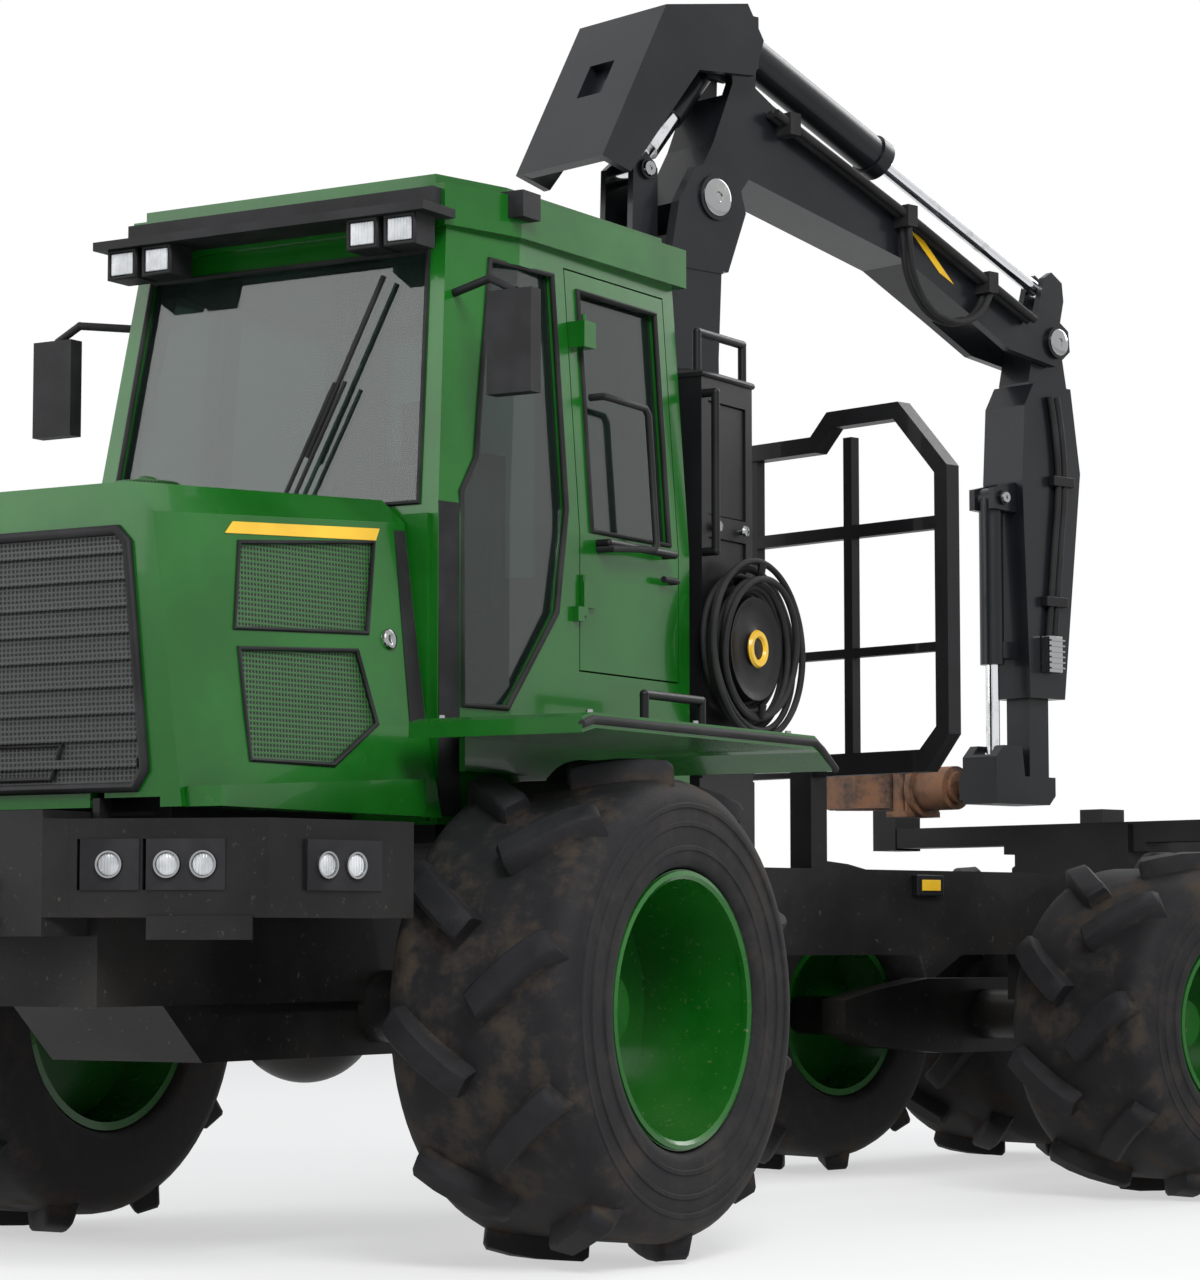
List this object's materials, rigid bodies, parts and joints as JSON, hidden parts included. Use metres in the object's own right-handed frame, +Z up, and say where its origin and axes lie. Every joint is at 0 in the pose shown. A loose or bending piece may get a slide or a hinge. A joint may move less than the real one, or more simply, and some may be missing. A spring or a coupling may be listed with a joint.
{
  "type": "forestry forwarder",
  "caption": "Forestry forwarder: articulated frame, tilting hood, hollow cab, lugged wheels, load gate, low bunks and a slewing knuckle-boom crane with telescoping jib and log grapple.",
  "frame": {"origin": "Centre of the bounding box on the ground plane under the wheels.", "axes": "Z is up. The front half points to -Y, and the left side is +X. The rear half is steered 16 degrees, its tail swung to the left."},
  "size_m": [4.0384, 8.378, 4.7601],
  "materials": {
    "green_paint": "satin",
    "black_paint": "satin",
    "black_plastic": "matte",
    "slate_paint": "satin",
    "chrome_rod": "gloss",
    "rust_iron": "matte",
    "tinted_glass": "gloss",
    "lamp_lens": "gloss",
    "yellow_paint": "satin",
    "hose_rubber": "matte",
    "tyre_rubber": "matte"
  },
  "bodies": {
    "front": {"front_frame": "black_paint", "front_axle": "black_paint", "engine_block": "black_paint", "front_bumper": "black_paint", "front_lamps": "lamp_lens", "cab_shell": "green_paint", "cab_roof": "green_paint", "cab_glass": "tinted_glass", "roof_lamps": "black_plastic", "cab_interior": "black_plastic", "cab_mirrors": "black_plastic", "fenders": "green_paint", "oil_tank": "black_paint", "grab_rails": "black_paint", "hose_coil": "hose_rubber"},
    "hood": {"hood_shell": "green_paint", "hood_grille": "black_plastic", "hood_vents": "black_plastic"},
    "door": {"cab_door": "green_paint", "door_glass": "tinted_glass", "door_rail": "black_paint"},
    "rear": {"rear_frame": "black_paint", "rear_bogies": "black_paint", "load_gate": "black_paint", "load_bunks": "black_paint", "slew_base": "black_paint"},
    "pillar": {"crane_pillar": "slate_paint"},
    "boom": {"boom_beam": "slate_paint", "boom_head": "slate_paint", "boom_hoses": "hose_rubber", "boom_loop_inner": "hose_rubber", "boom_loop_outer": "hose_rubber"},
    "lift_cylinder_barrel": {"lift_barrel": "slate_paint"},
    "lift_cylinder_rod": {"lift_rod": "chrome_rod"},
    "jib_cylinder_barrel": {"jib_barrel": "slate_paint"},
    "jib_cylinder_rod": {"jib_rod": "chrome_rod"},
    "jib": {"jib_arm": "slate_paint", "telescope_barrel": "slate_paint"},
    "extension": {"jib_extension": "slate_paint", "telescope_rod": "chrome_rod"},
    "link": {"grapple_link": "rust_iron"},
    "rotator": {"grapple_rotator": "rust_iron"},
    "grapple_rear": {"claw_rear": "rust_iron"},
    "grapple_front": {"claw_front": "rust_iron"},
    "front_wheel_left": {"front_tyre_left": "tyre_rubber", "front_rim_left": "green_paint"},
    "rear_wheel_fore_left": {"rear_tyre_fore_left": "tyre_rubber", "rear_rim_fore_left": "green_paint"},
    "rear_wheel_aft_left": {"rear_tyre_aft_left": "tyre_rubber", "rear_rim_aft_left": "green_paint"},
    "steer_cylinder_barrel_left": {"steer_barrel_left": "slate_paint"},
    "steer_cylinder_rod_left": {"steer_rod_left": "chrome_rod"},
    "front_wheel_right": {"front_tyre_right": "tyre_rubber", "front_rim_right": "green_paint"},
    "rear_wheel_fore_right": {"rear_tyre_fore_right": "tyre_rubber", "rear_rim_fore_right": "green_paint"},
    "rear_wheel_aft_right": {"rear_tyre_aft_right": "tyre_rubber", "rear_rim_aft_right": "green_paint"},
    "steer_cylinder_barrel_right": {"steer_barrel_right": "slate_paint"},
    "steer_cylinder_rod_right": {"steer_rod_right": "chrome_rod"}
  },
  "joints": [
    {"name": "front_axle_left", "type": "hinge", "parent": "front", "child": "front_wheel_left", "pos_m": [0.6285, -2.399, 0.8], "axis": [1, 0, 0], "continuous": true},
    {"name": "rear_axle_fore_left", "type": "hinge", "parent": "rear", "child": "rear_wheel_fore_left", "pos_m": [1.12035, 1.21973, 0.688], "axis": [0.9613, -0.2756, 0], "continuous": true},
    {"name": "rear_axle_aft_left", "type": "hinge", "parent": "rear", "child": "rear_wheel_aft_left", "pos_m": [1.53381, 2.66163, 0.688], "axis": [0.9613, -0.2756, 0], "continuous": true},
    {"name": "front_axle_right", "type": "hinge", "parent": "front", "child": "front_wheel_right", "pos_m": [-1.6795, -2.399, 0.8], "axis": [1, 0, 0], "continuous": true},
    {"name": "rear_axle_fore_right", "type": "hinge", "parent": "rear", "child": "rear_wheel_fore_right", "pos_m": [-0.93098, 1.80794, 0.688], "axis": [0.9613, -0.2756, 0], "continuous": true},
    {"name": "rear_axle_aft_right", "type": "hinge", "parent": "rear", "child": "rear_wheel_aft_right", "pos_m": [-0.51753, 3.24984, 0.688], "axis": [0.9613, -0.2756, 0], "continuous": true},
    {"name": "steer", "type": "hinge", "parent": "front", "child": "rear", "pos_m": [-0.5255, -0.649, 1], "axis": [0, 0, 1], "range_deg": [-24, 56]},
    {"name": "hood_tilt", "type": "hinge", "parent": "front", "child": "hood", "pos_m": [-0.5255, -3.879, 1.425], "axis": [1, 0, 0], "range_deg": [0, 60]},
    {"name": "door_swing", "type": "hinge", "parent": "front", "child": "door", "pos_m": [0.2745, -1.907, 2.2], "axis": [0, 0, -1], "range_deg": [0, 75]},
    {"name": "slew", "type": "hinge", "parent": "rear", "child": "pillar", "pos_m": [-0.41525, -0.2645, 1.8], "axis": [0, 0, -1], "range_deg": [-110, 110]},
    {"name": "lift", "type": "hinge", "parent": "pillar", "child": "boom", "pos_m": [-0.37114, -0.11069, 3.94], "axis": [0.9613, -0.2756, 0], "range_deg": [0, 42]},
    {"name": "lift_barrel_swing", "type": "hinge", "parent": "boom", "child": "lift_cylinder_barrel", "pos_m": [-0.34082, -0.00495, 4.51], "axis": [0.9613, -0.2756, 0], "range_deg": [-4, 4]},
    {"name": "lift_rod_slide", "type": "slide", "parent": "lift_cylinder_barrel", "child": "lift_cylinder_rod", "axis": [-0.1738, -0.6062, -0.7761], "range_m": [-0.23, 0.02]},
    {"name": "jib_fold", "type": "hinge", "parent": "boom", "child": "jib", "pos_m": [0.22148, 1.95602, 3.62], "axis": [0.9613, -0.2756, 0], "range_deg": [-35, 70]},
    {"name": "jib_barrel_swing", "type": "hinge", "parent": "boom", "child": "jib_cylinder_barrel", "pos_m": [-0.30775, 0.1104, 4.68], "axis": [0.9613, -0.2756, 0], "range_deg": [-8, 8]},
    {"name": "jib_rod_slide", "type": "slide", "parent": "jib_cylinder_barrel", "child": "jib_cylinder_rod", "axis": [0.2547, 0.8881, -0.3826], "range_m": [-0.25, 0.16]},
    {"name": "extend", "type": "slide", "parent": "jib", "child": "extension", "axis": [0, 0, 1], "range_m": [0, 0.32]},
    {"name": "grapple_hang", "type": "hinge", "parent": "extension", "child": "link", "pos_m": [0.02418, 1.75772, 1.68], "axis": [0.2756, 0.9613, 0], "range_deg": [0, 45]},
    {"name": "grapple_turn", "type": "hinge", "parent": "link", "child": "rotator", "pos_m": [-0.08637, 1.78942, 1.68], "axis": [-0.9613, 0.2756, 0], "continuous": true},
    {"name": "claw_rear_open", "type": "hinge", "parent": "rotator", "child": "grapple_rear", "pos_m": [-0.31921, 1.92068, 1.68], "axis": [0, 0, -1], "range_deg": [0, 50]},
    {"name": "claw_front_open", "type": "hinge", "parent": "rotator", "child": "grapple_front", "pos_m": [-0.35339, 1.80149, 1.68], "axis": [0, 0, 1], "range_deg": [0, 50]},
    {"name": "steer_barrel_swing_left", "type": "hinge", "parent": "front", "child": "steer_cylinder_barrel_left", "pos_m": [-0.1055, -1.439, 1.1], "axis": [0, 0, 1], "range_deg": [-12, 22]},
    {"name": "steer_rod_slide_left", "type": "slide", "parent": "steer_cylinder_barrel_left", "child": "steer_cylinder_rod_left", "axis": [0.0558, 0.9984, 0], "range_m": [-0.45, 0.4]},
    {"name": "steer_barrel_swing_right", "type": "hinge", "parent": "front", "child": "steer_cylinder_barrel_right", "pos_m": [-0.9455, -1.439, 1.1], "axis": [0, 0, 1], "range_deg": [-12, 22]},
    {"name": "steer_rod_slide_right", "type": "slide", "parent": "steer_cylinder_barrel_right", "child": "steer_cylinder_rod_right", "axis": [0.1172, 0.9931, 0], "range_m": [-0.45, 0.4]}
  ],
  "couplings": [
    {"joint": "lift_barrel_swing", "follows": "lift", "ratio": -0.0556},
    {"joint": "lift_rod_slide", "follows": "lift", "m_per_rad": -0.2876},
    {"joint": "jib_barrel_swing", "follows": "jib_fold", "ratio": -0.0598},
    {"joint": "jib_rod_slide", "follows": "jib_fold", "m_per_rad": -0.1956},
    {"joint": "claw_front_open", "follows": "claw_rear_open", "ratio": 1},
    {"joint": "steer_barrel_swing_left", "follows": "steer", "ratio": 0.3117},
    {"joint": "steer_rod_slide_left", "follows": "steer", "m_per_rad": 0.3817},
    {"joint": "steer_barrel_swing_right", "follows": "steer", "ratio": 0.297},
    {"joint": "steer_rod_slide_right", "follows": "steer", "m_per_rad": -0.4064}
  ]
}
